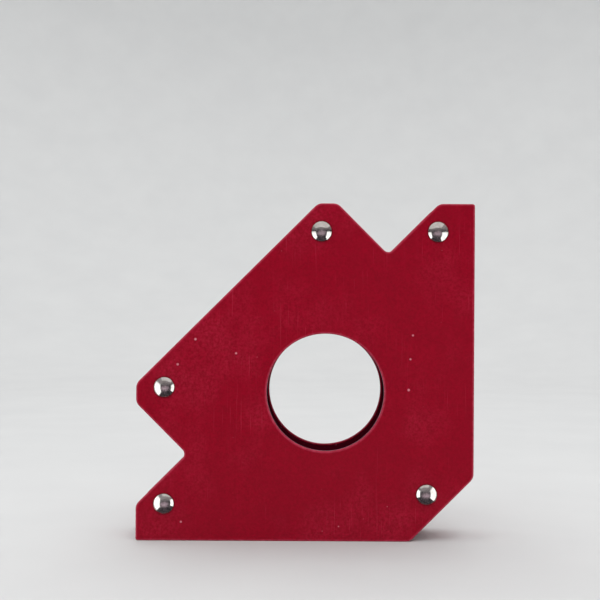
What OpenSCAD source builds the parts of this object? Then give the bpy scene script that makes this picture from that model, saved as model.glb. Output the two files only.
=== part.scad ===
// Arrow-shaped magnetic welding holder.
// Two steel side plates are riveted over ferrite blocks, which make each plate one magnetic pole.
// Bent strips close the sides between the plates, and a tube lines the centre hole.
// The holder is symmetric about the diagonal through its tip: each edge has a twin across it.
// X runs along the lower working edge, Y is the thickness with the front plate at -Y, and Z is up.
// The origin is on the ground under the middle, halfway through the thickness.

/* [Outline] */
// Side of the square that bounds the plates
body_size = 125; // [122:1:135]
// Length that the 45 degree cut at the tip takes off each working edge
tip_cut = 23.5; // [20:0.5:25]
// Distance from a working edge to the nearer end of the slanting tail edge
tail_start = 58; // [56:0.5:60]
// Distance from a working edge to the root of the vee notch beside it
vee_offset = 32; // [31:0.5:33]
// Depth of each 90 degree vee notch
vee_depth = 18.8; // [17:0.2:19]
// Radius at the root of each vee notch
vee_root_r = 2.2; // [1:0.1:3]
// Radius on the two barbs' right-angled corners
corner_r = 0.9; // [0.4:0.1:1]
// Radius on the blunt corners, at the ends of the tip cut and of the tail edge and at the vees' mouths
blunt_corner_r = 4; // [1:0.1:4.5]

/* [Thickness] */
// Thickness over both side plates
body_t = 25; // [20:0.5:30]
// Thickness of each side plate
plate_t = 2.5; // [1.5:0.1:3]

/* [Centre hole] */
// Diameter of the centre hole in the plates
hole_d = 43.5; // [40:0.5:46]
// Distance from a working edge to the centre of the hole
hole_offset = 55; // [54:0.5:56]
// Wall of the tube that lines the hole between the plates
tube_wall = 1.5; // [1:0.1:1.6]

/* [Closing strips] */
// Sheet thickness of the strips that close the sides
strip_t = 1.5; // [1:0.1:1.5]
// Depth of the strips and the tube below the plates' edges
recess = 0.5; // [0.3:0.1:0.8]

/* [Rivets] */
// Diameter of a rivet's shank
rivet_d = 4.7; // [4:0.1:4.8]
// Diameter of a rivet's domed head
head_d = 7.5; // [6.8:0.1:8]
// Height of a rivet's domed head
head_h = 1.8; // [1.5:0.1:2.6]
// Distance from the far side of the square to the four outer rivets
rivet_inset = 10.4; // [9.9:0.1:10.9]
// Distance from a working edge to the rivet in the barb at its end
barb_rivet_inset = 13.6; // [13:0.1:14]
// Distance from each working edge to the rivet near the tip
tip_rivet_inset = 17.4; // [17:0.1:18]

/* [Magnets] */
// Length of the long ferrite blocks, which lie in pairs along the straight edges
block_l = 34; // [28:1:34]
// Width of every ferrite block, and the length of the two short ones behind the vees
block_w = 20; // [16:1:20]

/* [Hidden] */
$fn = 96;

red = [0.51, 0.0, 0.125];
nickel = [0.82, 0.81, 0.78];
ferrite = [0.16, 0.16, 0.17];
spacer_grey = [0.72, 0.73, 0.74];

arc_steps = 8;                        // straight pieces in each rounded corner of an outline
core_t = body_t - 2 * plate_t;        // gap between the plates
hole_r = hole_d / 2;
hole_edge_break = 0.35;               // chamfer at the hole's two mouths
strip_depth = recess + strip_t;       // from a plate's edge to a strip's inner face
bend_r = 0.5;                         // inside radius where a strip is bent
joint_gap = 0.1;                      // cut back from each end of a strip, where it meets the next one
rivet_hole_r = rivet_d / 2 + 0.12;
tail_rivet_shift = 1.3;               // how far the tail rivets lie ahead of the tail edge's ends
spacer_r = 4.2;                       // outside of the sleeve round each rivet
roll_r = 1.1;                         // radius of the rolled end of a rivet, and its height
roll_middle_r = 2.6;                  // from the rivet's axis to the middle of that roll
tail_bore_depth = 6;                  // depth of the hollow in the rivet's tail below the rear plate's face
block_edge_break = 0.8;               // chamfer on the ferrite blocks' edges that run through the thickness
block_gap = 1;                        // between the two blocks of a pair
block_clearance = 0.4;                // between a block and the strip beside it
block_spacing = 2;                    // between a short block and the long ones beside it
edge_pair_start = 30.5;               // distance from a working edge to the pair along the other one

// A point in X and Z, given by its distances from the upright working edge and from the lower one
function from_edges(from_upright, from_base) = [body_size / 2 - from_upright, from_base];

// The twin of a point across the holder's diagonal, which swaps the two distances
function across(p) = from_edges(p.y, body_size / 2 - p.x);

TIP_END = from_edges(0, tip_cut);
BARB = from_edges(0, body_size);
VEE_NEAR = from_edges(vee_offset - vee_depth, body_size);
VEE_ROOT = from_edges(vee_offset, body_size - vee_depth);
VEE_FAR = from_edges(vee_offset + vee_depth, body_size);
TAIL_END = from_edges(tail_start, body_size);

// Corners of the plates, anticlockwise as seen from the front
OUTLINE = [
    across(TIP_END), TIP_END, BARB, VEE_NEAR, VEE_ROOT, VEE_FAR, TAIL_END,
    across(TAIL_END), across(VEE_FAR), across(VEE_ROOT), across(VEE_NEAR), across(BARB)
];
CORNERS = len(OUTLINE);

// Places in OUTLINE of the corners where a strip starts or ends, and of the two vee roots
LOWER_TIP = 0;
UPPER_TIP = 1;
UPPER_BARB = 2;
UPPER_VEE = 4;
UPPER_TAIL = 6;
LOWER_TAIL = 7;
LOWER_VEE = 9;
LOWER_BARB = 11;

HOLE = from_edges(hole_offset, hole_offset);
TIP_RIVET = from_edges(tip_rivet_inset, tip_rivet_inset);
BARB_RIVET = from_edges(barb_rivet_inset, body_size - rivet_inset);
TAIL_RIVET = from_edges(tail_start - tail_rivet_shift, body_size - rivet_inset);
RIVETS = [TIP_RIVET, BARB_RIVET, TAIL_RIVET, across(TAIL_RIVET), across(BARB_RIVET)];

// Middles of the pairs of long blocks along the upright edge and the tail edge, and of the upper short block
block_inset = strip_depth + block_clearance + block_w / 2;
EDGE_PAIR = from_edges(block_inset, edge_pair_start + block_l + block_gap / 2);
TAIL_PAIR = (TAIL_END + across(TAIL_END)) / 2 + unit([1, -1]) * block_inset;
VEE_BLOCK = from_edges(
    block_inset + block_w + block_spacing,
    VEE_ROOT.y - sqrt(2) * strip_depth - block_spacing - block_w / 2
);
pair_step = (block_l + block_gap) / 2;

function unit(v) = v / norm(v);
function reversed(list) = [for (i = [len(list) - 1:-1:0]) list[i]];
function corner(i) = OUTLINE[i % CORNERS];
function is_vee(i) = i == UPPER_VEE || i == LOWER_VEE;
function is_barb(i) = i == UPPER_BARB || i == LOWER_BARB;
function corner_radius(i) = is_vee(i) ? vee_root_r : is_barb(i) ? corner_r : blunt_corner_r;

// Points of the arc of radius r that rounds corner b between its neighbours a and c
function arc_at(a, b, c, r) =
    let (
        to_a = unit(a - b),
        to_c = unit(c - b),
        half = acos(to_a * to_c) / 2,
        centre = b + unit(to_a + to_c) * r / sin(half),
        start = b + to_a * r / tan(half) - centre,
        end = b + to_c * r / tan(half) - centre,
        from = atan2(start.y, start.x),
        turn = atan2(start.x * end.y - start.y * end.x, start * end)
    )
    [for (s = [0:arc_steps]) let (a = from + turn * s / arc_steps) centre + r * [cos(a), sin(a)]];

// Corner i of the outline moved inwards by d from both of its edges
function inset_corner(i, d) =
    let (
        before = unit(corner(i) - corner(i + CORNERS - 1)),
        after = unit(corner(i + 1) - corner(i)),
        n1 = [-before.y, before.x],
        n2 = [-after.y, after.x]
    )
    corner(i) + (n1 + n2) * d / (1 + n1 * n2);

// The whole outline with its rounded corners
function plate_points() = [
    for (i = [0:CORNERS - 1])
        each arc_at(corner(i + CORNERS - 1), corner(i), corner(i + 1), corner_radius(i))
];

// One face of a strip from corner first to corner last, at depth d, with its bends' radius and its vee's
function strip_face(first, last, d, r, vee_r) =
    let (
        run = [for (i = [first:last]) inset_corner(i, d)],
        n = len(run) - 1
    )
    [
        run[0] + unit(run[1] - run[0]) * joint_gap,
        for (k = [1:1:n - 1]) each arc_at(run[k - 1], run[k], run[k + 1], is_vee(first + k) ? vee_r : r),
        run[n] + unit(run[n - 1] - run[n]) * joint_gap
    ];

// Extrudes a shape drawn in X and Z along Y, from y0 to y1
module slab(y0, y1) {
    translate([0, y1, 0]) rotate([90, 0, 0]) linear_extrude(y1 - y0) children();
}

// Fills the gap between the plates with a shape drawn in X and Z
module core() {
    slab(-core_t / 2, core_t / 2) children();
}

// Stands its children on the thickness at point p, with their Z axis pointing out of the rear plate
module through(p) {
    translate([p.x, 0, p.y]) rotate([-90, 0, 0]) children();
}

// A round tube between the plates, centred on point p
module sleeve(p, outer_r, inner_r) {
    through(p) difference() {
        cylinder(h = core_t, r = outer_r, center = true);
        cylinder(h = 2 * core_t, r = inner_r, center = true);
    }
}

module rear_plate() {
    color(red) difference() {
        slab(core_t / 2, body_t / 2) polygon(plate_points());
        through(HOLE) cylinder(h = 2 * body_t, r = hole_r, center = true);
        through(HOLE) translate([0, 0, body_t / 2 - hole_edge_break])
            cylinder(h = 2 * hole_edge_break, r1 = hole_r, r2 = hole_r + 2 * hole_edge_break);
        for (p = RIVETS) through(p) cylinder(h = 2 * body_t, r = rivet_hole_r, center = true);
    }
}

module front_plate() {
    mirror([0, 1, 0]) rear_plate();
}

// Tube between the plates that lines the centre hole
module centre_tube() {
    color(red) sleeve(HOLE, hole_r + recess + tube_wall, hole_r + recess);
}

// Bent strip that closes the side from corner first to corner last of the outline
module strip(first, last) {
    outer = strip_face(first, last, recess, bend_r + strip_t, vee_root_r + recess);
    inner = strip_face(first, last, strip_depth, bend_r, vee_root_r + strip_depth);
    color(red) core() polygon(concat(outer, reversed(inner)));
}

// Ferrite block between the plates, centred on p and turned by angle in the plane of the plates
module block(p, angle, length) {
    l = length / 2;
    w = block_w / 2;
    b = block_edge_break;
    quarter = [[l, w - b], [l - b, w]];
    points = [
        for (q = quarter) q,
        for (q = reversed(quarter)) [-q.x, q.y],
        for (q = quarter) -q,
        for (q = reversed(quarter)) [q.x, -q.y]
    ];
    color(ferrite) core() translate(p) rotate(angle) polygon(points);
}

// Sleeve that keeps the plates apart round a rivet
module spacer(p) {
    color(spacer_grey) sleeve(p, spacer_r, rivet_hole_r);
}

// Semi-tubular rivet: a domed head on the front plate, a shank, and a rolled end on the rear plate
module rivet(p) {
    head_r = head_d / 2;
    dome_r = (head_r * head_r + head_h * head_h) / (2 * head_h);
    color(nickel) through(p) {
        translate([0, 0, -body_t / 2]) intersection() {
            translate([0, 0, dome_r - head_h]) sphere(dome_r);
            translate([0, 0, -head_h]) cylinder(h = head_h, r = 2 * head_r);
        }
        difference() {
            union() {
                translate([0, 0, -body_t / 2]) cylinder(h = body_t, r = rivet_d / 2);
                translate([0, 0, body_t / 2]) intersection() {
                    rotate_extrude() translate([roll_middle_r, 0]) circle(roll_r);
                    cylinder(h = 2 * roll_r, r = 2 * roll_middle_r);
                }
            }
            translate([0, 0, body_t / 2 - tail_bore_depth])
                cylinder(h = 2 * tail_bore_depth, r = roll_middle_r - roll_r);
        }
    }
}

front_plate();
rear_plate();
centre_tube();

strip(LOWER_BARB, CORNERS + LOWER_TIP);  // bottom_edge_strip
strip(LOWER_TIP, UPPER_TIP);  // tip_strip
strip(UPPER_TIP, UPPER_BARB);  // upright_edge_strip
strip(UPPER_BARB, UPPER_TAIL);  // upper_vee_strip
strip(UPPER_TAIL, LOWER_TAIL);  // tail_strip
strip(LOWER_TAIL, LOWER_BARB);  // lower_vee_strip

block(EDGE_PAIR - [0, pair_step], 90, block_l);  // upright_magnet_low
block(EDGE_PAIR + [0, pair_step], 90, block_l);  // upright_magnet_high
block(across(EDGE_PAIR) + [pair_step, 0], 0, block_l);  // bottom_magnet_near
block(across(EDGE_PAIR) - [pair_step, 0], 0, block_l);  // bottom_magnet_far
block(TAIL_PAIR + unit([1, 1]) * pair_step, 45, block_l);  // tail_magnet_upper
block(TAIL_PAIR - unit([1, 1]) * pair_step, 45, block_l);  // tail_magnet_lower
block(VEE_BLOCK, 0, block_w);  // upper_vee_magnet
block(across(VEE_BLOCK), 0, block_w);  // lower_vee_magnet

spacer(TIP_RIVET);  // tip_spacer
spacer(BARB_RIVET);  // upper_barb_spacer
spacer(TAIL_RIVET);  // upper_tail_spacer
spacer(across(TAIL_RIVET));  // lower_tail_spacer
spacer(across(BARB_RIVET));  // lower_barb_spacer

rivet(TIP_RIVET);  // tip_rivet
rivet(BARB_RIVET);  // upper_barb_rivet
rivet(TAIL_RIVET);  // upper_tail_rivet
rivet(across(TAIL_RIVET));  // lower_tail_rivet
rivet(across(BARB_RIVET));  // lower_barb_rivet
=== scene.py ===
"""Looks of the arrow-shaped magnetic welding holder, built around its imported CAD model."""

import math

import bmesh
import bpy
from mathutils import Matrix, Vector, geometry, noise


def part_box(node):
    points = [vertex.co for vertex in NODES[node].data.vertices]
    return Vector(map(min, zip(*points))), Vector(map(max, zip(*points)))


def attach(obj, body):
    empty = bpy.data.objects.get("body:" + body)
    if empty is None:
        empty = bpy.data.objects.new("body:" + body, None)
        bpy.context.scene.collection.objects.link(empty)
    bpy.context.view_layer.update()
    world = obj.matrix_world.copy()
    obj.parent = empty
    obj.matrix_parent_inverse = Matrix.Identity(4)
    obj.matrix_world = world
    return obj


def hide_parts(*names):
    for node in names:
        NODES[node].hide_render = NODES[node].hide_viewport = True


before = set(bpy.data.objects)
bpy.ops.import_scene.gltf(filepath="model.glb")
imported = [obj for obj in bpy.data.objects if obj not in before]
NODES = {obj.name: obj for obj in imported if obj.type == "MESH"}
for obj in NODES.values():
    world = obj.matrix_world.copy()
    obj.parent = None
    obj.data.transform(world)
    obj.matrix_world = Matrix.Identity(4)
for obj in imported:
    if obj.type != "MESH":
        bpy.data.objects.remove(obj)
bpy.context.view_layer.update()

MM = 0.001
PLATES = ("front_plate", "rear_plate")
STRIPS = (
    "bottom_edge_strip",
    "tip_strip",
    "upright_edge_strip",
    "upper_vee_strip",
    "tail_strip",
    "lower_vee_strip",
)
RIVETS = [n for n in sorted(NODES) if n.endswith("_rivet")]
SPACERS = [n for n in sorted(NODES) if n.endswith("_spacer")]
MAGNETS = [n for n in sorted(NODES) if "_magnet" in n]
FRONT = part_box("front_plate")[0].y   # the front plate's outer face
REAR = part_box("rear_plate")[1].y     # the rear plate's outer face

WELD = 0.002 * MM            # vertices closer than this are one
ROUND_WITHIN = 0.01 * MM     # a loop whose radius varies by less than this is a circle
FEWEST_SIDES = 12            # a loop with fewer points than this isn't a circle
CORNER = 1e-3                # sine of the smallest turn that is a corner
TRIANGLES = 0                # the output that the triangulation is asked for
TRIANGLES_APART = 1e-9       # points closer than this are one to it
ARC_STEPS = 5                # steps in each rounded edge
CIRCLE_SIDES = 192
RING_SIDES = 48              # points in each ring of the plate's face round a rivet
GRID_MARGIN = 0.4            # between a face's outline and the points inside it, in grid pitches
RING_MARGIN = 0.6            # between the widest ring and the grid, in grid pitches
BORDER = 0.35 * MM           # width of the flat band beside a rounded edge
RIM = "rim"                  # vertex attribute: 1 on a slab's rounded edges and walls, 0 on its faces
RIVET_SHADE = "seat"                # vertex attribute for painted shade: 1 on the plate right beside a rivet's head, 0 elsewhere


# ---- Shapes -----------------------------------------------------------------------------------------------

def centre(node):
    """Where a node's axis through the thickness lies, in X and Z."""
    low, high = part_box(node)
    return Vector(((low.x + high.x) / 2, (low.z + high.z) / 2))


def area(loop):
    """Signed area of a closed loop of 2-D points: positive when it runs anticlockwise."""
    return sum(a.x * b.y - b.x * a.y for a, b in zip(loop, loop[1:] + loop[:1])) / 2


def circle(middle, radius, sides):
    turns = [2 * math.pi * k / sides for k in range(sides)]
    return [middle + radius * Vector((math.cos(t), math.sin(t))) for t in turns]


def smooth_circle(loop):
    """The loop itself, or a finer circle in its place if its points all lie on one."""
    middle = sum(loop, Vector((0, 0))) / len(loop)
    radii = [(p - middle).length for p in loop]
    if len(loop) < FEWEST_SIDES or max(radii) - min(radii) > ROUND_WITHIN:
        return loop
    finer = circle(middle, max(radii), CIRCLE_SIDES)
    return finer if area(loop) > 0 else finer[::-1]


def corners_only(loop):
    """The loop without the points that lie on a straight line between their neighbours."""
    kept = []
    for a, b, c in zip(loop[-1:] + loop[:-1], loop, loop[1:] + loop[:1]):
        before, after = (b - a).normalized(), (c - b).normalized()
        if abs(before.cross(after)) > CORNER:
            kept.append(b)
    return kept


def face_loops(node, y):
    """Loops round a CAD node's flat face in the plane at y, in X and Z, with the material on their left."""
    bm = bmesh.new()
    bm.from_mesh(NODES[node].data)
    bmesh.ops.remove_doubles(bm, verts=bm.verts, dist=WELD)
    # A dict keeps its order, so the loops start at the same points in each run
    flat = dict.fromkeys(f for f in bm.faces if all(abs(v.co.y - y) < WELD for v in f.verts))
    follows = {}
    for f in flat:
        for loop in f.loops:
            if sum(g in flat for g in loop.edge.link_faces) == 1:
                follows[loop.vert] = loop.link_loop_next.vert
    loops = []
    while follows:
        start, vert = next(iter(follows.items()))
        loop = [start]
        del follows[start]
        while vert is not start:
            loop.append(vert)
            vert = follows.pop(vert)
        loops.append(corners_only([Vector((v.co.x, v.co.z)) for v in loop]))
    bm.free()
    loops.sort(key=lambda each: -abs(area(each)))
    if area(loops[0]) < 0:
        loops = [each[::-1] for each in loops]
    return [smooth_circle(each) for each in loops]


def inset(loop, depth):
    """The loop moved into the material on its left by depth."""
    moved = []
    for a, b, c in zip(loop[-1:] + loop[:-1], loop, loop[1:] + loop[:1]):
        before, after = (b - a).normalized(), (c - b).normalized()
        n1, n2 = Vector((-before.y, before.x)), Vector((-after.y, after.x))
        moved.append(b + (n1 + n2) * depth / (1 + n1.dot(n2)))
    return moved


def inside(point, loop):
    crossings = 0
    for a, b in zip(loop, loop[1:] + loop[:1]):
        if (a.y > point.y) != (b.y > point.y):
            crossings += point.x < a.x + (point.y - a.y) * (b.x - a.x) / (b.y - a.y)
    return crossings % 2 == 1


def in_material(point, loops):
    """Whether a point lies inside the first loop and outside the others, which are holes."""
    return inside(point, loops[0]) and not any(inside(point, hole) for hole in loops[1:])


def grid_points(loops, pitch, middles, radii):
    """Points in the material: rings of the given radii round each middle, and a triangular grid elsewhere."""
    xs, ys = [p.x for p in loops[0]], [p.y for p in loops[0]]
    clear = [inset(loop, GRID_MARGIN * pitch) for loop in loops]
    row = pitch * math.sqrt(3) / 2
    grid = [
        Vector((min(xs) + (i + 0.5 * (j % 2)) * pitch, min(ys) + j * row))
        for j in range(int((max(ys) - min(ys)) / row) + 1)
        for i in range(int((max(xs) - min(xs)) / pitch) + 1)
    ]
    reach = max(radii) + RING_MARGIN * pitch
    grid = [p for p in grid if min((p - m).length for m in middles) > reach]
    rings = [p for m in middles for r in radii for p in circle(m, r, RING_SIDES)]
    return [p for p in grid + rings if in_material(p, clear)]


def bridge(bm, rings):
    """Joins each ring of vertices to the next with faces. A ring of one vertex is a pole."""
    for low, high in zip(rings, rings[1:]):
        sides = max(len(low), len(high))
        for k in range(sides):
            n = (k + 1) % sides
            corners = (low[k % len(low)], low[n % len(low)], high[n % len(high)], high[k % len(high)])
            bm.faces.new(list(dict.fromkeys(corners)))


def cap(bm, loops, rings, y, extra):
    """Fills the flat face at y between rings of vertices, which stand on the loops.

    The extra points become vertices inside it."""
    spots = [p for loop in loops for p in loop]
    verts = [v for ring in rings for v in ring]
    edges = []
    for loop in loops:
        first = len(edges)
        edges += [(first + k, first + (k + 1) % len(loop)) for k in range(len(loop))]
    out, _, triangles, origins, _, _ = geometry.delaunay_2d_cdt(
        spots + extra, edges, [], TRIANGLES, TRIANGLES_APART)
    placed = [
        verts[min(o)] if o and min(o) < len(verts) else bm.verts.new((p.x, y, p.y))
        for p, o in zip(out, origins)
    ]
    for t in triangles:
        middle = sum((out[k] for k in t), Vector((0, 0))) / 3
        if in_material(middle, loops):
            bm.faces.new([placed[k] for k in t])


def rounded_profile(y_a, y_b, r_a, r_b):
    """(depth into the material, y) from the rounded edge at y_a, along the wall, to the one at y_b."""
    way = math.copysign(1, y_b - y_a)
    steps = [math.pi / 2 * k / ARC_STEPS for k in range(ARC_STEPS + 1)]
    near = [(r_a * (1 - math.sin(t)), y_a + way * r_a * (1 - math.cos(t))) for t in steps]
    far = [(r_b * (1 - math.cos(t)), y_b - way * r_b * (1 - math.sin(t))) for t in steps]
    return [(r_a + BORDER, y_a)] + near + far + [(r_b + BORDER, y_b)]


def rounded_slab(loops, y_a, y_b, r_a, r_b, extra):
    """A flat piece with rounded edges and holes, between y_a and y_b. Extra points refine its face at y_b."""
    bm = bmesh.new()
    rim = bm.verts.layers.float.new(RIM)
    profile = rounded_profile(y_a, y_b, r_a, r_b)
    first_rings, last_rings = [], []
    for loop in loops:
        rings = []
        for depth, y in profile:
            ring = [bm.verts.new((p.x, y, p.y)) for p in inset(loop, depth)]
            for v in ring:
                v[rim] = 0.0 if depth > max(r_a, r_b) else 1.0
            rings.append(ring)
        bridge(bm, rings)
        first_rings.append(rings[0])
        last_rings.append(rings[-1])
    for rings, (depth, y), spots in ((first_rings, profile[0], []), (last_rings, profile[-1], extra)):
        cap(bm, [inset(loop, depth) for loop in loops], rings, y, spots)
    return bm


def lathe(middle, profile, sides, warp):
    """A round piece about the axis through middle, from a profile of (radius, y).

    The warp changes the radius at each turn."""
    bm = bmesh.new()
    rings = []
    for radius, y in profile:
        ring = []
        for k in range(sides if radius else 1):
            turn = 2 * math.pi * k / sides
            r = warp(turn, radius, y)
            ring.append(bm.verts.new((middle.x + r * math.cos(turn), y, middle.y + r * math.sin(turn))))
        rings.append(ring)
    bridge(bm, rings)
    return bm


def arc(middle_r, middle_y, radius, start, end, steps):
    """(radius, y) points on an arc. Angles are in degrees, from outwards (0) towards the rear (90)."""
    angles = [math.radians(start + (end - start) * k / steps) for k in range(steps + 1)]
    return [(middle_r + radius * math.cos(a), middle_y + radius * math.sin(a)) for a in angles]


def build(name, bm, material):
    """Turns a bmesh into a smooth-shaded object in the scene."""
    for f in bm.faces:
        f.smooth = True
    mesh = bpy.data.meshes.new(name)
    bm.to_mesh(mesh)
    bm.free()
    mesh.materials.append(material)
    thing = bpy.data.objects.new(name, mesh)
    bpy.context.scene.collection.objects.link(thing)
    return thing


def make(name, bm, material, nodes):
    """Turns a bmesh into a piece that stands for the CAD nodes and rides on the body."""
    bmesh.ops.recalc_face_normals(bm, faces=bm.faces)
    piece = build(name, bm, material)
    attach(piece, "root")
    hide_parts(*nodes)


# ---- Materials --------------------------------------------------------------------------------------------

SPECK_STEP = 0.02            # how much more than the rarity a cell's value needs for a full speck
SPECK_FADE = 1.6             # a speck fades out between its radius and this many radii
NOISE_ROUGHNESS = 0.55


def shaded(colour, share):
    """The colour times a share of its brightness."""
    return [share * c for c in colour]


class Shader:
    """A material with a Principled shader, and short calls that add the nodes feeding it."""

    def __init__(self, name, **values):
        self.material = bpy.data.materials.new(name)
        self.material.use_nodes = True
        self.tree = self.material.node_tree
        self.principled = self.tree.nodes["Principled BSDF"]
        for socket, value in values.items():
            self.principled.inputs[socket.replace("_", " ")].default_value = value
        position = self.add("ShaderNodeTexCoord").outputs["Object"]
        self.mm = self.vector("SCALE", {0: position, "Scale": 1 / MM}).outputs["Vector"]

    def add(self, kind, settings=None, inputs=None):
        """Adds a node. Each of its inputs is given a value, or linked if the value is a socket."""
        node = self.tree.nodes.new(kind)
        for key, value in (settings or {}).items():
            setattr(node, key, value)
        for key, value in (inputs or {}).items():
            if isinstance(value, bpy.types.NodeSocket):
                self.tree.links.new(value, node.inputs[key])
            else:
                node.inputs[key].default_value = value
        return node

    def feed(self, **sockets):
        """Links sockets to the Principled shader's inputs."""
        for name, value in sockets.items():
            self.tree.links.new(value, self.principled.inputs[name.replace("_", " ")])

    def vector(self, operation, inputs):
        return self.add("ShaderNodeVectorMath", {"operation": operation}, inputs)

    def math(self, operation, a, b=0.0):
        return self.add("ShaderNodeMath", {"operation": operation}, {0: a, 1: b}).outputs[0]

    def axes(self):
        """The position's X, Y and Z in millimetres."""
        return self.add("ShaderNodeSeparateXYZ", None, {0: self.mm}).outputs

    def stretch(self, x, y, z):
        """The position in millimetres, multiplied along each axis."""
        return self.vector("MULTIPLY", {0: self.mm, 1: (x, y, z)}).outputs["Vector"]

    def noise(self, size, detail, vector=None):
        """Soft noise with features of about that size in millimetres."""
        inputs = {"Vector": vector or self.mm, "Scale": 1 / size}
        inputs.update({"Detail": detail, "Roughness": NOISE_ROUGHNESS})
        return self.add("ShaderNodeTexNoise", None, inputs).outputs["Fac"]

    def cells(self, size, output, vector=None):
        """Cells of about that size in millimetres: each one's random colour or the distance to its middle."""
        inputs = {"Vector": vector or self.mm, "Scale": 1 / size}
        return self.add("ShaderNodeTexVoronoi", None, inputs).outputs[output]

    def specks(self, spacing, rarity, radius, strength, vector):
        """Round spots: one in each cell of that spacing, left out where the cell's random value is low."""
        chance = self.cells(spacing, "Color", vector)
        chosen = self.remap(chance, rarity, rarity + SPECK_STEP, 0.0, strength)
        near = self.cells(spacing, "Distance", vector)
        spot = self.remap(near, radius / spacing, SPECK_FADE * radius / spacing, 1.0, 0.0)
        return self.math("MULTIPLY", spot, chosen)

    def remap(self, value, low, high, to_low=0.0, to_high=1.0):
        """Takes low to to_low and high to to_high, and goes no further outside them."""
        inputs = {"Value": value, "From Min": low, "From Max": high, "To Min": to_low, "To Max": to_high}
        return self.add("ShaderNodeMapRange", None, inputs).outputs[0]

    def blend(self, factor, a, b):
        """The colour a where the factor is 0, and b where it is 1."""
        node = self.add("ShaderNodeMix", {"data_type": "RGBA"})
        self.tree.links.new(factor, node.inputs[0])
        for socket, value in ((node.inputs[6], a), (node.inputs[7], b)):
            if isinstance(value, bpy.types.NodeSocket):
                self.tree.links.new(value, socket)
            else:
                socket.default_value = (*value, 1.0)
        return node.outputs[2]

    def attribute(self, name):
        return self.add("ShaderNodeAttribute", {"attribute_name": name}).outputs["Fac"]

    def bump(self, height, depth, normal=None):
        """Raises the surface by up to depth millimetres where height is 1."""
        inputs = {"Height": height, "Strength": 1.0, "Distance": depth * MM}
        if normal:
            inputs["Normal"] = normal
        return self.add("ShaderNodeBump", None, inputs).outputs["Normal"]


DUST_COLOUR = (0.66, 0.20, 0.26)
PAINTED_SHEEN_SHARE = 0.6             # how far the hazy patches' painted sheen takes the colour to the paler one
HAZE_ROUGHNESS = 0.08        # added by haze
SCRATCH_ROUGHNESS = 0.2      # added by scratches
RIVET_SHADE_SHARE = 0.7             # how far the painted shade beside a rivet's head takes the colour to the dark one


def red_paint(name, colour, sheen_and_scratch_colour, edge, roughness, specular, dust_depth):
    """Satin red coating: orange peel, hazy patches with a painted sheen, dust, fine scratches, paler edges,
    and painted shade beside the rivets' heads.

    It is paler in scratches and, as a painted sheen, in hazy patches. On rounded edges and walls it takes the
    edge colour, partly thinner paint and partly a painted highlight. A dust_depth below 1 draws the dust out
    through the thickness, so more of it lies on the plates' faces."""
    s = Shader(name, Specular_IOR_Level=specular)
    cloud = s.remap(s.noise(7, detail=4), 0.3, 0.7, 0.0, 0.4)
    haze_and_sheen = s.remap(s.noise(24, detail=3), 0.48, 0.70)
    grain = s.noise(0.8, detail=3)
    patches = s.noise(16, detail=1)
    lines = s.noise(1, detail=2, vector=s.stretch(3.0, 3.0, 0.05))
    where_scratched = s.remap(patches, 0.46, 0.6, 0.0, 0.5)
    scratches = s.math("MULTIPLY", s.remap(lines, 0.63, 0.72), where_scratched)
    space = s.stretch(1.0, dust_depth, 1.0)
    where_dusty = s.remap(patches, 0.4, 0.6, 0.08, 0.40)
    fine = s.specks(spacing=2.2, rarity=0.72, radius=0.22, strength=1.0, vector=space)
    medium = s.specks(spacing=4.6, rarity=0.62, radius=0.26, strength=0.40, vector=space)
    coarse = s.specks(spacing=12.0, rarity=0.55, radius=0.34, strength=1.0, vector=space)
    dust = s.math("MAXIMUM", s.math("MULTIPLY", fine, where_dusty), s.math("MAXIMUM", medium, coarse))
    # Rounded edges and walls take the edge colour: partly thinner paint, partly a painted highlight.
    edge_wear_and_highlight = s.math("MULTIPLY", s.attribute(RIM), s.remap(s.noise(1.4, detail=3), 0.35, 0.75, 0.25, 0.75))

    tone = s.blend(cloud, colour, shaded(colour, 0.76))
    # Painted sheen: the hazy patches are paler, standing in for soft reflections; they are also rougher.
    tone = s.blend(s.math("MULTIPLY", haze_and_sheen, PAINTED_SHEEN_SHARE), tone, sheen_and_scratch_colour)
    tone = s.blend(s.remap(grain, 0.35, 0.65, 0.0, 0.9), tone, shaded(colour, 0.74))
    tone = s.blend(scratches, tone, sheen_and_scratch_colour)
    tone = s.blend(dust, tone, DUST_COLOUR)
    tone = s.blend(edge_wear_and_highlight, tone, edge)
    # Painted shade: the paint is darkened right beside each rivet's head, where shade falls.
    tone = s.blend(s.math("MULTIPLY", s.attribute(RIVET_SHADE), RIVET_SHADE_SHARE), tone, shaded(colour, 0.3))

    hazy = s.remap(haze_and_sheen, 0.0, 1.0, roughness, roughness + HAZE_ROUGHNESS)
    rough = s.math("ADD", hazy, s.math("MULTIPLY", scratches, SCRATCH_ROUGHNESS))
    peel = s.bump(s.noise(1.3, detail=1), 0.012)
    grit = s.bump(grain, 0.006, peel)
    s.feed(Base_Color=tone, Roughness=rough, Normal=s.bump(dust, 0.03, grit))
    return s.material


def bright_nickel():
    """Polished plating with faint swirls and slightly duller patches."""
    s = Shader("bright_nickel", Metallic=1.0)
    patches = s.noise(1.6, detail=4)
    scuffs = s.noise(0.5, detail=3, vector=s.stretch(5.0, 1.0, 0.6))
    tone = s.blend(s.remap(patches, 0.35, 0.7), (0.87, 0.86, 0.84), (0.72, 0.70, 0.67))
    rough = s.math("ADD", s.remap(patches, 0.3, 0.7, 0.09, 0.17), s.remap(scuffs, 0.6, 0.75, 0.0, 0.12))
    s.feed(Base_Color=tone, Roughness=rough, Normal=s.bump(s.noise(0.9, detail=2), 0.02))
    return s.material


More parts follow.
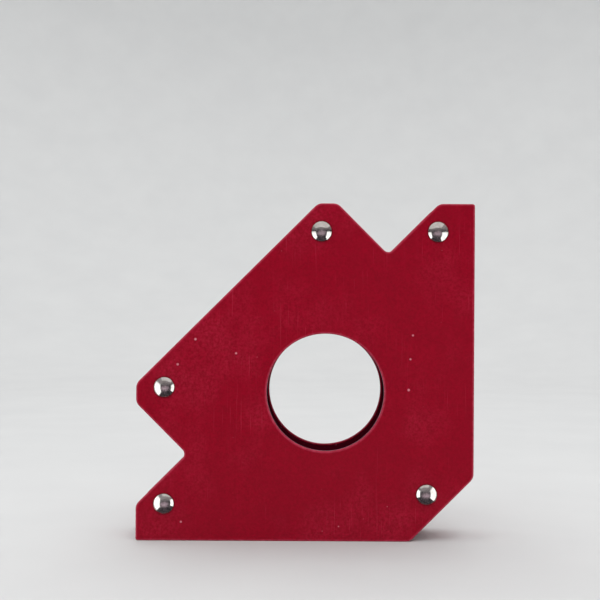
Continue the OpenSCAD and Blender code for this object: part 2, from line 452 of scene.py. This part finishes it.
def sintered_ferrite():
    """Charcoal ceramic: mottled, with ground streaks and open pores."""
    s = Shader("sintered_ferrite", Specular_IOR_Level=0.45)
    mottling = s.remap(s.noise(1.2, detail=5), 0.3, 0.7)
    tone = s.blend(mottling, (0.030, 0.030, 0.033), (0.060, 0.060, 0.064))
    streaks = s.noise(0.4, detail=2, vector=s.stretch(0.25, 6.0, 3.0))
    pores = s.remap(s.cells(0.9, "Distance"), 0.05, 0.2)
    rough = s.remap(streaks, 0.3, 0.7, 0.5, 0.75)
    s.feed(Base_Color=tone, Roughness=rough, Normal=s.bump(pores, 0.02, s.bump(streaks, 0.01)))
    return s.material


def turned_aluminium():
    """Sleeve metal with fine turning rings along its length."""
    s = Shader("turned_aluminium", Metallic=1.0)
    rings = s.noise(1, detail=1, vector=s.stretch(0.15, 7.0, 0.15))
    tone = s.blend(s.remap(s.noise(3, detail=3), 0.3, 0.7), (0.78, 0.79, 0.80), (0.66, 0.67, 0.68))
    s.feed(Base_Color=tone, Roughness=s.remap(rings, 0.3, 0.7, 0.26, 0.42), Normal=s.bump(rings, 0.01))
    return s.material


def studio_paper():
    """Pale matt paper for the floor and the sweep behind it."""
    s = Shader("studio_paper", Roughness=0.9, Specular_IOR_Level=0.2)
    tone = s.blend(s.remap(s.noise(60, detail=2), 0.3, 0.7), (0.61, 0.61, 0.605), (0.59, 0.59, 0.587))
    s.feed(Base_Color=tone, Normal=s.bump(s.noise(0.6, detail=3), 0.02))
    return s.material


PLATE_RED = red_paint(
    "plate_red",
    colour=(0.340, 0.0002, 0.0150),
    sheen_and_scratch_colour=(0.44, 0.008, 0.036),
    # edge: paler along rounded edges, partly thinner paint and partly a painted highlight
    edge=(0.56, 0.060, 0.115),
    roughness=0.18,
    specular=0.17,
    dust_depth=0.25,
)
STRIP_RED = red_paint(
    "strip_red",
    colour=(0.290, 0.0002, 0.0130),
    sheen_and_scratch_colour=(0.38, 0.009, 0.034),
    edge=(0.42, 0.025, 0.060),
    roughness=0.24,
    specular=0.35,
    dust_depth=1.0,
)
# Painted shade: the tube's red is nearly black, standing in for the shadow that falls inside the hole.
TUBE_PAINTED_SHADE = red_paint(
    "tube_red",
    colour=(0.024, 0.0001, 0.0028),
    sheen_and_scratch_colour=(0.045, 0.001, 0.006),
    edge=(0.045, 0.001, 0.006),
    roughness=0.6,
    specular=0.0,
    dust_depth=1.0,
)
NICKEL = bright_nickel()
FERRITE = sintered_ferrite()
ALUMINIUM = turned_aluminium()


# ---- Pieces -----------------------------------------------------------------------------------------------

PLATE_EDGE_R = 0.45 * MM     # rounding of a plate's outer edges
INNER_EDGE_R = 0.12 * MM     # and of its edges towards the other plate
STRIP_EDGE_R = 0.28 * MM     # rounding of the strips, the tube and the sleeves
BLOCK_EDGE_R = 0.4 * MM      # rounding of the ferrite blocks
GRID_PITCH = 3.0 * MM
DISH_DEPTH = 0.12 * MM       # how far riveting draws the plate's outer face in
DISH_REACH = 5.0 * MM        # distance from a rivet at which that has faded to about a third
DISH_RINGS = [r * MM for r in (3.3, 3.75, 4.05, 4.4, 5.0, 6.0, 7.5, 9.5)]
WAVE_HEIGHT = 0.015 * MM     # of the slight waves in the plate's outer face
WAVE_RATE = 45               # waves in a metre
RIVET_SHADE_WIDTH = 0.6 * MM        # width of the painted shade line round a rivet's head

RIVET_SIDES = 96
HEAD_GAP = 0.04 * MM         # between a rivet's head and the flat of the plate
HEAD_RIM_R = 0.12 * MM       # rounding of the head's rim
HEAD_FLARE = 0.25 * MM       # how far the shank widens under the head
SHANK_R = 2.35 * MM
SHANK_SETBACK = 0.02 * MM    # where the shank starts to widen, below the plates' outer faces
TAIL_FLARE = 0.2 * MM        # how far the shank widens at the rolled end
TAIL_GAP = 0.03 * MM         # between the rolled end and the flat of the plate
ROLL_MIDDLE_R = 2.6 * MM     # radius of the rolled end's crest
BORE_DEPTH = 6 * MM          # depth of the hollow in a rivet's tail
BORE_MOUTH = 0.5 * MM        # depth where the hollow's wall gets straight
BORE_TIP = 0.6 * MM          # length of the cone at the hollow's end

SPLITS = 7                   # short splits that rolling leaves in a rivet's tail
SPLIT_DEPTH = 0.20 * MM
SPLIT_HALF_ANGLE = 0.07      # radians
SPLIT_SHIFT = 0.25           # how uneven their spacing is, in spaces
SPLIT_TURN = 1.7             # radians between one rivet's splits and the next one's
LIP_WOBBLE = 0.05 * MM       # how far the lip is off a true circle
LIP_INNER_R = 2.0 * MM       # splits and wobble grow from this radius outwards
LIP_WIDTH = 1.7 * MM


def finish_face(bm, outer_y, inward):
    """Draws the plate's outer face in round each rivet, gives it slight waves and marks where shade is
    painted right beside each rivet's head.
    """
    seat = bm.verts.layers.float.new(RIVET_SHADE)
    spots = [centre(r) for r in RIVETS]
    low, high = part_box(RIVETS[0])
    head_r = (high.x - low.x) / 2
    for v in bm.verts:
        if abs(v.co.y - outer_y) > WELD:
            continue
        nearest = min((Vector((v.co.x, v.co.z)) - s).length for s in spots)
        # Painted shade: strongest at the head's rim, gone one line width beyond it.
        v[seat] = min(1.0, max(0.0, 1 - (nearest - head_r) / RIVET_SHADE_WIDTH))
        dip = DISH_DEPTH * math.exp(-((nearest / DISH_REACH) ** 2))
        wave = WAVE_HEIGHT * (1 + noise.noise(v.co * WAVE_RATE))
        v.co.y += inward * (dip + wave)


def side_plate(node):
    low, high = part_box(node)
    outward = math.copysign(1, low.y)
    inner, outer = (high.y, low.y) if outward < 0 else (low.y, high.y)
    loops = face_loops(node, inner)
    spots = grid_points(loops, GRID_PITCH, [centre(r) for r in RIVETS], DISH_RINGS)
    bm = rounded_slab(loops, inner, outer, INNER_EDGE_R, PLATE_EDGE_R, spots)
    finish_face(bm, outer, -outward)
    make("painted_" + node, bm, PLATE_RED, [node])


def flat_piece(prefix, node, edge_r, material):
    low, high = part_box(node)
    bm = rounded_slab(face_loops(node, low.y), low.y, high.y, edge_r, edge_r, [])
    make(prefix + node, bm, material, [node])


def rivet_profile(node):
    """(radius, y) along a rivet: domed head, shank, rolled end and the hollow inside it."""
    low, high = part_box(node)
    rim_middle = (high.x - low.x) / 2 - HEAD_RIM_R
    rim_y = FRONT - HEAD_GAP - HEAD_RIM_R
    rim_h = rim_y - low.y
    dome_r = (rim_middle ** 2 + rim_h ** 2 - HEAD_RIM_R ** 2) / (2 * (rim_h - HEAD_RIM_R))
    meet = math.degrees(math.atan2(rim_h - dome_r, rim_middle))
    roll_r = high.y - REAR
    roll_y = REAR + TAIL_GAP
    bore_r = ROLL_MIDDLE_R - roll_r
    bore_end = REAR - BORE_DEPTH
    dome = [(0.0, low.y)] + arc(0, low.y + dome_r, dome_r, -90, meet, steps=26)[1:]
    rim = arc(rim_middle, rim_y, HEAD_RIM_R, meet, 90, steps=8)[1:]
    under = [(SHANK_R + HEAD_FLARE, FRONT - HEAD_GAP), (SHANK_R, FRONT + SHANK_SETBACK)]
    shank = [(SHANK_R, REAR - SHANK_SETBACK), (SHANK_R + TAIL_FLARE, roll_y)]
    roll = arc(ROLL_MIDDLE_R, roll_y, roll_r - TAIL_GAP, 0, 180, steps=18)
    bore = [(bore_r, REAR - BORE_MOUTH), (bore_r, bore_end + BORE_TIP), (0.0, bore_end)]
    return dome + rim + under + shank + roll + bore


def clinch_warp(seed):
    """Makes the rolled end's lip slightly uneven, with the short splits that rolling leaves."""
    shifts = [SPLIT_SHIFT * math.sin(3 * k + seed) for k in range(SPLITS)]
    splits = [seed * SPLIT_TURN + 2 * math.pi * (k + shift) / SPLITS for k, shift in enumerate(shifts)]

    def warp(turn, radius, y):
        if y < REAR or radius < LIP_INNER_R:
            return radius
        lip = (radius - LIP_INNER_R) / LIP_WIDTH
        near = min(abs(math.remainder(turn - s, 2 * math.pi)) for s in splits)
        cut = SPLIT_DEPTH * math.exp(-((near / SPLIT_HALF_ANGLE) ** 2))
        wobble = LIP_WOBBLE * (1 + math.sin(2 * turn + seed))
        return radius - lip * (cut + wobble)

    return warp


for each in PLATES:
    side_plate(each)
flat_piece("painted_", "centre_tube", STRIP_EDGE_R, TUBE_PAINTED_SHADE)
for each in STRIPS:
    flat_piece("painted_", each, STRIP_EDGE_R, STRIP_RED)
for each in MAGNETS:
    flat_piece("sintered_", each, BLOCK_EDGE_R, FERRITE)
for each in SPACERS:
    flat_piece("turned_", each, STRIP_EDGE_R, ALUMINIUM)
for count, each in enumerate(RIVETS):
    body = lathe(centre(each), rivet_profile(each), RIVET_SIDES, clinch_warp(count))
    make("plated_" + each, body, NICKEL, [each])


# ---- Studio -----------------------------------------------------------------------------------------------

MIDDLE = Vector((0.0, 0.0, 0.06))    # where the lights aim
FLOOR_RINGS = (0.0, 0.2, 0.6, 0.9)   # radii of the rings of vertices in the flat floor
SWEEP_RADIUS = 1.0
SWEEP_STEPS = 24
SWEEP_SIDES = 96
WALL_TOP = 1.7
SKY_RADIUS = 4.0
ROOM_RADIUS = 3.5
SIDE_CARD_X = 0.15           # from the middle to a side card
SIDE_CARD_NEAR = 0.012       # from the middle to its nearer end, through the thickness
SIDE_CARD_DEPTH = 0.143
SIDE_CARD_FOOT = -0.08
SIDE_CARD_HEIGHT = 0.20
TOP_CARD_X = 0.12            # half the overhead card's width
TOP_CARD_Y = 0.125           # half its depth
TOP_CARD_Z = 0.2
FILL_Y = 1.15                # from the middle to a fill light, through the thickness
FILL_Z = 1.35
TOP_LIGHT_Z = 1.4

# Colours and brightness of what glows
SKY = (1.27, 1.29, 1.31)
WHITE = (1.8, 1.78, 1.75)
GREY = (0.70, 0.655, 0.64)
LILAC = (0.44, 0.33, 0.38)
ROOM_DARK = (0.012, 0.011, 0.013)
ROOM_DIM = (0.10, 0.080, 0.090)
ROOM_HIGH = (0.27, 0.24, 0.245)

# Heights in millimetres
SIDE_CARD_DIMS = 75.0        # a side card dims from here
SIDE_CARD_DIM = 120.0        # to here
ROOM_LIGHTENS = 500.0        # the room gets lighter from here
ROOM_LIGHT = 2100.0          # to here
ROOM_DRIFT = 500.0           # and these two heights vary by up to this much

# The lilac patch in the room, in millimetres
PATCH_MIDDLE = (0.0, 3420.0, -620.0)
PATCH_CORE = 300.0
PATCH_REACH = 1700.0
PATCH_RAGGED = 900.0
PATCH_SQUEEZE = 0.6          # below 1 makes it wider than high


def stage_piece(name, bm, material):
    """Turns a bmesh into a part of the studio."""
    piece = build(name, bm, material)
    return piece


def studio_sweep():
    """A pale floor that curves up into a wall all round."""
    edge = FLOOR_RINGS[-1]
    profile = [(radius, 0.0) for radius in FLOOR_RINGS]
    bends = [math.pi / 2 * k / SWEEP_STEPS for k in range(1, SWEEP_STEPS + 1)]
    profile += [(edge + SWEEP_RADIUS * math.sin(a), SWEEP_RADIUS * (1 - math.cos(a))) for a in bends]
    profile.append((edge + SWEEP_RADIUS, WALL_TOP))
    bm = bmesh.new()
    rings = []
    for radius, z in profile:
        points = circle(Vector((0, 0)), radius, SWEEP_SIDES if radius else 1)
        rings.append([bm.verts.new((p.x, p.y, z)) for p in points])
    bridge(bm, rings)
    sweep = stage_piece("studio_sweep", bm, studio_paper())
    sweep.visible_glossy = False


def softbox(name, place, width, height, radiance):
    """A rectangular light aimed at the object, seen neither by the camera nor in reflections."""
    lamp = bpy.data.lights.new(name, "AREA")
    lamp.shape = "RECTANGLE"
    lamp.size = width
    lamp.size_y = height
    lamp.energy = radiance * math.pi * width * height
    light = bpy.data.objects.new(name, lamp)
    light.location = place
    light.rotation_euler = (MIDDLE - light.location).to_track_quat("-Z", "Y").to_euler()
    light.visible_camera = False
    light.visible_glossy = False
    bpy.context.scene.collection.objects.link(light)


def glow(name, bm, shade, reflected):
    """A glowing studio piece: either it only shows in reflections, or it shows everywhere but in them."""
    s = Shader(name, Base_Color=(0, 0, 0, 1), Specular_IOR_Level=0.0, Emission_Strength=1.0)
    s.material.cycles.emission_sampling = "NONE"
    s.feed(Emission_Color=shade(s))
    piece = stage_piece(name, bm, s.material)
    piece.visible_camera = not reflected
    piece.visible_diffuse = not reflected
    piece.visible_glossy = reflected
    piece.visible_transmission = False
    piece.visible_shadow = False


def ball(radius):
    """A sphere seen from inside."""
    bm = bmesh.new()
    bmesh.ops.create_icosphere(bm, subdivisions=4, radius=radius)
    bmesh.ops.reverse_faces(bm, faces=bm.faces)
    return bm


def card(corner, across, up):
    """A flat sheet from one corner, along two sides."""
    bm = bmesh.new()
    c, a, u = Vector(corner), Vector(across), Vector(up)
    bm.faces.new([bm.verts.new(p) for p in (c, c + a, c + a + u, c + u)])
    return bm


def sky_shade(s):
    return s.blend(s.remap(s.noise(2500, detail=1), 0.3, 0.7), SKY, shaded(SKY, 0.98))


def room_shade(s):
    """Dark and uneven at eye level and below, lighter above, with a soft lilac patch in front and behind."""
    x, y, z = s.axes()
    base = s.blend(s.remap(s.noise(600, detail=3), 0.4, 0.62), ROOM_DARK, ROOM_DIM)
    drift = s.remap(s.noise(700, detail=2), 0.35, 0.65, -ROOM_DRIFT, ROOM_DRIFT)
    upper = s.remap(s.math("ADD", z, drift), ROOM_LIGHTENS, ROOM_LIGHT)
    parts = {0: s.math("MULTIPLY", x, PATCH_SQUEEZE), 1: s.math("ABSOLUTE", y), 2: z}
    folded = s.add("ShaderNodeCombineXYZ", None, parts).outputs[0]
    away = s.vector("DISTANCE", {0: folded, 1: PATCH_MIDDLE}).outputs["Value"]
    ragged = s.remap(s.noise(420, detail=4), 0.3, 0.7, -PATCH_RAGGED, PATCH_RAGGED)
    patch = s.remap(s.math("ADD", away, ragged), PATCH_CORE, PATCH_REACH, 1.0, 0.0)
    return s.blend(patch, s.blend(upper, base, ROOM_HIGH), LILAC)


def mottled(s, colour):
    """A card's colour, duller in soft patches."""
    return s.blend(s.remap(s.noise(120, detail=3), 0.35, 0.65), colour, shaded(colour, 0.72))


def side_card_shade(s):
    """White, and half as bright at the top."""
    dim = s.remap(s.axes()["Z"], SIDE_CARD_DIMS, SIDE_CARD_DIM)
    return s.blend(dim, mottled(s, WHITE), shaded(WHITE, 0.5))


def top_card_shade(s):
    return mottled(s, GREY)


studio_sweep()
glow("sky", ball(SKY_RADIUS), sky_shade, reflected=False)
glow("reflection_room", ball(ROOM_RADIUS), room_shade, reflected=True)
for end, y in (("front", -1), ("rear", 1)):
    for side, x in (("left", -1), ("right", 1)):
        corner = (SIDE_CARD_X * x, SIDE_CARD_NEAR * y, SIDE_CARD_FOOT)
        sheet = card(corner, (0.0, SIDE_CARD_DEPTH * y, 0.0), (0.0, 0.0, SIDE_CARD_HEIGHT))
        glow(f"{end}_{side}_card", sheet, side_card_shade, reflected=True)
    softbox(end + "_fill", (0.0, FILL_Y * y, FILL_Z), width=1.4, height=0.9, radiance=1.0)
corner = (-TOP_CARD_X, -TOP_CARD_Y, TOP_CARD_Z)
sheet = card(corner, (2 * TOP_CARD_X, 0.0, 0.0), (0.0, 2 * TOP_CARD_Y, 0.0))
glow("overhead_card", sheet, top_card_shade, reflected=True)
softbox("top_softbox", (0.0, 0.0, TOP_LIGHT_Z), width=1.8, height=1.8, radiance=0.5)

world = bpy.data.worlds.new("studio")
world.use_nodes = True
world.node_tree.nodes["Background"].inputs["Strength"].default_value = 0.0
bpy.context.scene.world = world

# The camera looks straight along the thickness, and leans a little, as the picture does. The shift frames the
# holder to the left of and below the middle, as in the picture.
SENSOR = 36.0
CAMERA_DISTANCE = 0.375
CAMERA_X = 0.00356
CAMERA_Z = 0.08217
CAMERA_LEAN = math.radians(-0.31)
VIEW_WIDTH = 0.2217          # width of the picture at the front plate's distance
camera = bpy.data.objects.new("camera", bpy.data.cameras.new("camera"))
camera.data.sensor_width = SENSOR
camera.data.lens = SENSOR * CAMERA_DISTANCE / VIEW_WIDTH
camera.data.shift_x = -0.0252
camera.data.shift_y = 0.0317
camera.data.clip_start = 0.01
camera.location = (CAMERA_X, FRONT - CAMERA_DISTANCE, CAMERA_Z)
camera.rotation_euler = (math.pi / 2, CAMERA_LEAN, 0.0)
bpy.context.scene.collection.objects.link(camera)
bpy.context.scene.camera = camera
bpy.context.scene.view_settings.view_transform = "Standard"
